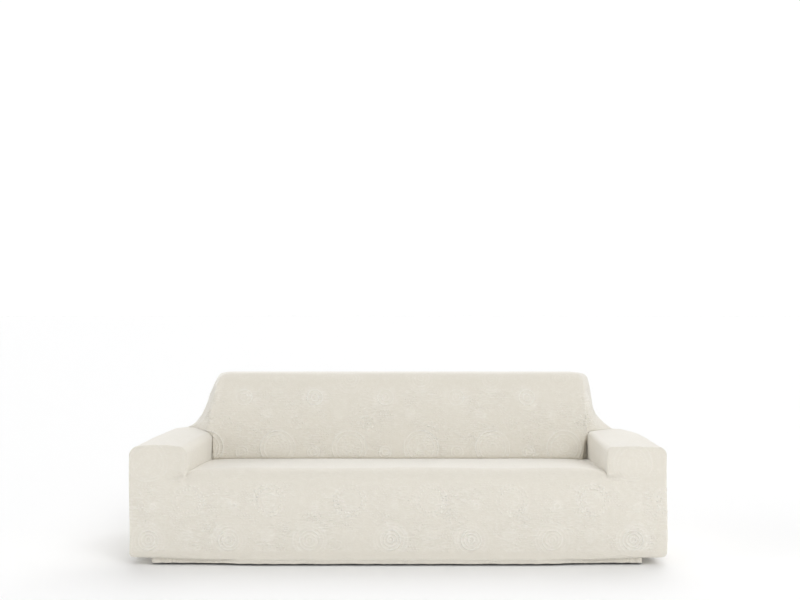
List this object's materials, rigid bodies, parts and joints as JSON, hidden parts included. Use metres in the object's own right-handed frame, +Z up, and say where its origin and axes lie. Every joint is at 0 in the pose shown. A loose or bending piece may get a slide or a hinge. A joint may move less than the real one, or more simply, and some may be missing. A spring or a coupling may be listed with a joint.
{
  "type": "sofa slipcover",
  "caption": "Fitted stretch slipcover of knitted jacquard for a low sofa with arms, hollow and open below, with a drawn-in hem.",
  "frame": {"origin": "on the cloth's inner face under the middle of the backrest's top, where the cover hangs on the sofa's back", "axes": "+X to the viewer's right along the backrest, +Y from the front of the seat to the back, +Z up"},
  "size_m": [2.3723, 0.9157, 0.7878],
  "materials": {
    "jacquard": "matt cream knitted jacquard with raised rings of dots and fine cross ribs"
  },
  "bodies": {
    "root": {"front_seat": "jacquard", "arm_left": "jacquard", "arm_right": "jacquard", "backrest": "jacquard", "back_rear": "jacquard"}
  },
  "joints": []
}
